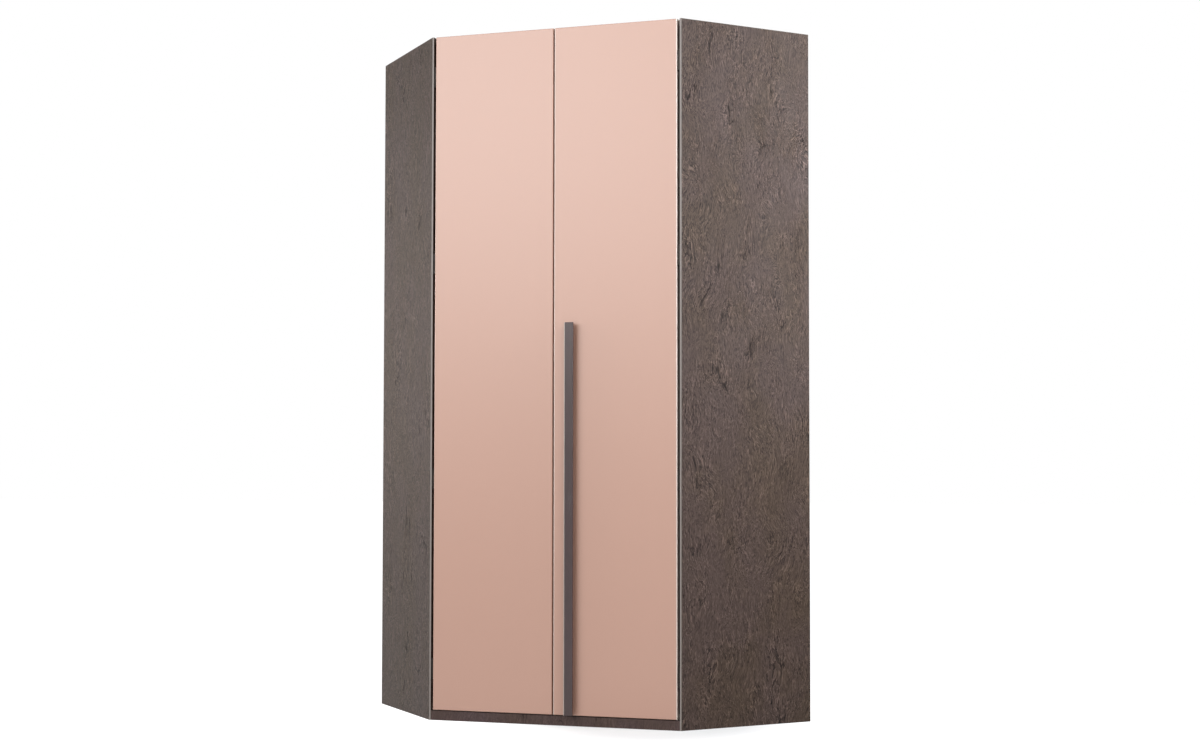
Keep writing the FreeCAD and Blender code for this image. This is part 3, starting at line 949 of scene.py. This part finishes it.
@dataclass
class Screws:
    """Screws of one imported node, turned with a crossed recess in the head."""

    node: str
    body: Body
    count: int
    inward: Triple
    mirrored: bool = False
    head_radius: float = 0.0036
    head_height: float = 0.0017
    shank_radius: float = 0.00175
    crown: float = 0.0004
    slot_width: float = 0.0011
    slot_depth: float = 0.0010
    slot_reach: float = 0.62
    face_start: float = 0.1
    face_rings: int = 12
    taper_start: float = 0.85
    point: float = 0.1
    segments: int = 40

    def axes(self, middles: np.ndarray) -> np.ndarray:
        """Direction of each screw, mirrored for those on the right where the node has both sides.

        Args:
            middles: Middle of each screw.
        Returns:
            Array of screw by coordinate.
        """
        axes = np.tile(np.array(self.inward), (len(middles), 1))
        axes[:, 0] *= np.where(self.mirrored & (middles[:, 0] > 0), -1.0, 1.0)
        return axes

    def build(self, material: bpy.types.Material) -> None:
        """Turns all screws of the node.

        The head's face falls from its middle by crown * (radius / head radius) squared, and the shank ends
        in a point.

        Args:
            material: Finish of the screws.
        """
        points = solids_of(self.node, self.count)
        middles = (points.min(axis=1) + points.max(axis=1)) / 2
        axes = self.axes(middles)
        along = np.einsum("ijk,ik->ij", points - middles[:, None, :], axes)
        tops = middles + axes * along.min(axis=1)[:, None]
        length = float((along.max(axis=1) - along.min(axis=1))[0])
        face = np.linspace(self.face_start, 1.0, self.face_rings) * self.head_radius
        dome = np.stack([face, self.crown * (face / self.head_radius) ** 2], axis=1)
        shank = [[self.head_radius, self.head_height], [self.shank_radius, self.head_height],
                 [self.shank_radius, length * self.taper_start], [self.shank_radius * self.point, length]]
        recess = crossed_slots(self.slot_width, self.head_radius * self.slot_reach, self.slot_depth)
        piece = turned(self.node + "_turned", np.vstack([dome, shank]), tops, axes, self.segments, recess)
        settle(piece, self.body, self.node, material)


@dataclass
class Fittings:
    """Screws, cams and their bolts, shelf pins and levelling feet."""

    zinc: Finish = Metal("zinc_plate", base=(0.56, 0.55, 0.52), roughness=0.32,
                         brush_repeats=(300.0, 300.0, 300.0))
    nylon: Finish = MouldedPlastic("black_nylon")
    wall_way: float = math.sqrt(0.5)
    cams: int = 8
    cam_slot: float = 0.0016
    cam_slot_reach: float = 0.6
    cam_slot_depth: float = 0.3
    cam_face: Pair = (0.08, 0.94)
    cam_face_rings: int = 12
    cam_bevel: float = 0.06
    cam_segments: int = 48
    feet: tuple[str, ...] = ("corner", "left", "right", "middle")
    foot_pad: float = 0.004
    foot_lip: float = 0.0015
    foot_stem: float = 0.005
    foot_cup: float = 0.015
    foot_cup_height: float = 0.009
    foot_threads: int = 6
    foot_thread_depth: float = 0.0004
    foot_thread_rings: int = 4
    foot_face_start: float = 0.2
    foot_segments: int = 40

    def screws(self) -> list[Screws]:
        """Screws of every node that has some.

        Returns:
            One set for each node.
        """
        k = self.wall_way
        return [
            Screws("hinge_arm_screws", Body.CARCASS, 16, (-k, -k, 0.0), mirrored=True),
            Screws("back_screws", Body.CARCASS, 20, (k, -k, 0.0), mirrored=True, crown=0.0),
            Screws("rail_bracket_screws", Body.CARCASS, 6, (0.0, 0.0, 1.0)),
            Screws("left_hinge_leaf_screws", Body.LEFT_DOOR, 8, (0.0, -1.0, 0.0)),
            Screws("right_hinge_leaf_screws", Body.RIGHT_DOOR, 8, (0.0, -1.0, 0.0)),
            Screws("handle_screws", Body.RIGHT_DOOR, 4, (0.0, -1.0, 0.0), head_radius=0.004,
                   head_height=0.0022, shank_radius=0.002),
        ]

    def build_cams(self, material: bpy.types.Material) -> None:
        """Turns round cams with a crossed slot: those in the top panel face up, the bottom's down.

        Args:
            material: Finish of the cams.
        """
        low, high = boxes_of("cams", self.cams)
        tops = (low + high) / 2
        upper = tops[:, 2] > tops[:, 2].mean()
        tops[:, 2] = np.where(upper, high[:, 2], low[:, 2])
        axes = Z_WAY * np.where(upper, -1.0, 1.0)[:, None]
        radius = float((high - low)[0, 0]) / 2
        depth = float((high - low)[0, 2])
        face = np.linspace(*self.cam_face, self.cam_face_rings) * radius
        flat = np.stack([face, np.zeros_like(face)], axis=1)
        profile = np.vstack([flat, [[radius, radius * self.cam_bevel], [radius, depth]]])
        recess = crossed_slots(self.cam_slot, radius * self.cam_slot_reach, radius * self.cam_slot_depth)
        piece = turned("cams_turned", profile, tops, axes, self.cam_segments, recess)
        settle(piece, Body.CARCASS, "cams", material)

    def build_feet(self, material: bpy.types.Material) -> None:
        """Turns the feet: a lipped pad, a stem whose radius waves like a thread, and a chamfered cup.

        Args:
            material: Finish of the feet.
        """
        for place in self.feet:
            node = place + "_levelling_foot"
            low, high = boxes_of(node, 1)
            pad = float((high - low)[0, 0]) / 2
            tall = float((high - low)[0, 2])
            rings = self.foot_thread_rings * self.foot_threads + 1
            stem = np.linspace(self.foot_cup_height, tall - self.foot_pad, rings)
            turns = np.linspace(0.0, 2 * math.pi * self.foot_threads, rings)
            wave = self.foot_stem - self.foot_thread_depth * (1 - np.cos(turns)) / 2
            cup = [[self.foot_cup * self.foot_face_start, 0.0], [self.foot_cup, 0.0],
                   [self.foot_cup, self.foot_cup_height - self.foot_lip],
                   [self.foot_cup - self.foot_lip, self.foot_cup_height]]
            sole = [[pad - self.foot_lip, tall - self.foot_pad], [pad, tall - self.foot_pad + self.foot_lip],
                    [pad, tall], [pad * self.foot_face_start, tall]]
            profile = np.vstack([cup, np.stack([wave, stem], axis=1), sole])
            tops = (low + high) / 2
            tops[:, 2] = high[:, 2]
            piece = turned(node + "_turned", profile, tops, -Z_WAY, self.foot_segments)
            settle(piece, Body.CARCASS, node, material)

    def build(self) -> None:
        """Builds and dresses all fittings."""
        zinc = self.zinc.material()
        for screws in self.screws():
            screws.build(zinc)
        self.build_cams(zinc)
        self.build_feet(self.nylon.material())
        paint(zinc, ["cam_bolts", "shelf_pins"])


# Studio


@dataclass(frozen=True)
class Softbox:
    """A large soft lamp that the camera doesn't see.

    Its power is pi times its area times the radiance, which is that of its face where it shines all
    round. A beam narrowed to fewer degrees of spread keeps that power, and so is brighter.
    """

    name: str
    place: Triple
    size: Pair
    radiance: float
    aim: Triple = (0.0, -0.4, 1.6)
    spread: float = 180.0
    tint: Colour = (1.0, 1.0, 1.0)

    def build(self) -> None:
        """Hangs the lamp and turns it to its aim."""
        data = bpy.data.lights.new(self.name, "AREA")
        data.shape = "RECTANGLE"
        data.size, data.size_y = self.size
        data.energy = math.pi * self.size[0] * self.size[1] * self.radiance
        data.spread = math.radians(self.spread)
        data.color = self.tint
        lamp = bpy.data.objects.new(self.name, data)
        lamp.location = self.place
        lamp.rotation_euler = (Vector(self.aim) - Vector(self.place)).to_track_quat("-Z", "Y").to_euler()
        lamp.visible_camera = False
        bpy.context.scene.collection.objects.link(lamp)
        log.info("lamp %s", self.name)


@dataclass
class Studio:
    """White surroundings, a floor that keeps the shadow and has a painted shadow patch by the right front
    corner, soft lamps and the camera.
    """

    ambient: float = 0.28
    floor_reach: float = 40.0
    floor_glow: float = 0.485
    floor_painted_shadow_middle: Triple = (0.31, -0.42, 0.0)
    floor_painted_shadow_span: Pair = (0.2, 0.6)
    floor_colour: Colour = (0.38, 0.38, 0.38)
    sensor: float = 36.0
    lens: float = 54.2351
    camera_place: Triple = (2.0243, -5.8508, 0.7872)
    pitch: float = 2.3223
    turn: float = 17.4326
    shift: Pair = (-0.05, 25.0 / 1200.0)
    lamps: tuple[Softbox, ...] = (
        Softbox("front_softbox", (-1.9, -4.6, 3.1), (4.4, 2.9), 3.75),
        Softbox("right_softbox", (2.5, -0.4, 2.12), (1.1, 2.0), 3.85, aim=(0.58, -0.28, 1.52), spread=100.0,
                tint=(0.95, 1.0, 1.08)),
        Softbox("left_softbox", (-3.2, -0.75, 1.6), (1.2, 1.5), 0.82, aim=(-0.6, -0.3, 1.2), spread=46.0),
        Softbox("fill_softbox", (3.3, -3.5, 3.0), (2.7, 2.5), 4.2),
    )

    def seen(self, graph: Graph) -> Expr:
        """1 for what the camera sees, straight, in a gloss or through something clear.

        Args:
            graph: Node tree of the floor or the world.
        Returns:
            1 or 0.
        """
        path = [graph.node("ShaderNodeLightPath", output=name)
                for name in ("Is Camera Ray", "Is Glossy Ray", "Is Transmission Ray")]
        return path[0].greatest(path[1]).greatest(path[2])

    def build_world(self) -> None:
        """White to the eye, and a plain even light on the object."""
        world = bpy.data.worlds.new("studio_white")
        world.use_nodes = True
        graph = Graph(world.node_tree)
        strength = self.ambient + self.seen(graph) * (1.0 - self.ambient)
        sky = graph.node("ShaderNodeBackground", inputs={"Color": (1.0, 1.0, 1.0, 1.0), "Strength": strength})
        graph.node("ShaderNodeOutputWorld", inputs={"Surface": sky})
        bpy.context.scene.world = world

    def build_floor(self) -> None:
        """Flat floor, x and y running over a square, whose glow to the eye is lowered round one spot by the
        right front corner, painting a grey shadow patch there over the contact shadow.
        """
        corner = np.array([[-1, -1, 0], [1, -1, 0], [1, 1, 0], [-1, 1, 0]]) * self.floor_reach
        mesh = bpy.data.meshes.new("studio_floor")
        mesh.from_pydata(corner.tolist(), [], [[0, 1, 2, 3]])
        floor = bpy.data.objects.new("studio_floor", mesh)
        bpy.context.scene.collection.objects.link(floor)
        material = bpy.data.materials.new("floor_white")
        material.use_nodes = True
        graph = Graph(material.node_tree)
        matt = graph.node("ShaderNodeBsdfDiffuse", inputs={"Color": (*self.floor_colour, 1.0)})
        # The glow drops near this middle, so the floor there shows painted shade even where no shadow falls.
        ends = {0: graph.place, 1: self.floor_painted_shadow_middle}
        away = graph.node("ShaderNodeVectorMath", {"operation": "DISTANCE"}, ends, output="Value")
        outside_painted_shadow = graph.step(away, *self.floor_painted_shadow_span)
        strength = self.seen(graph) * (self.floor_glow + outside_painted_shadow * (1.0 - self.floor_glow))
        glow = graph.node("ShaderNodeEmission", inputs={"Strength": strength})
        both = graph.node("ShaderNodeAddShader", inputs={0: matt, 1: glow})
        graph.node("ShaderNodeOutputMaterial", inputs={"Surface": both})
        mesh.materials.append(material)

    def build_camera(self) -> None:
        """Camera at the photograph's viewing angle."""
        data = bpy.data.cameras.new("camera")
        data.lens = self.lens
        data.sensor_width = self.sensor
        data.shift_x, data.shift_y = self.shift
        camera = bpy.data.objects.new("camera", data)
        camera.location = self.camera_place
        camera.rotation_euler = (math.pi / 2 + math.radians(self.pitch), 0.0, math.radians(self.turn))
        bpy.context.scene.collection.objects.link(camera)
        bpy.context.scene.camera = camera

    def build(self) -> None:
        """Sets up the whole studio."""
        bpy.context.scene.view_settings.view_transform = "Standard"
        self.build_world()
        self.build_floor()
        for lamp in self.lamps:
            lamp.build()
        self.build_camera()


def main() -> None:
    """Builds and dresses the wardrobe, then the studio."""
    logging.basicConfig(level=logging.INFO, format="%(message)s")
    doors = Doors()
    rail = HangingRail()
    Carcass().dress()
    doors.build()
    doors.dress()
    Hinges().dress()
    rail.build()
    rail.dress()
    Fittings().build()
    Studio().build()


if __name__ == "__main__":
    main()
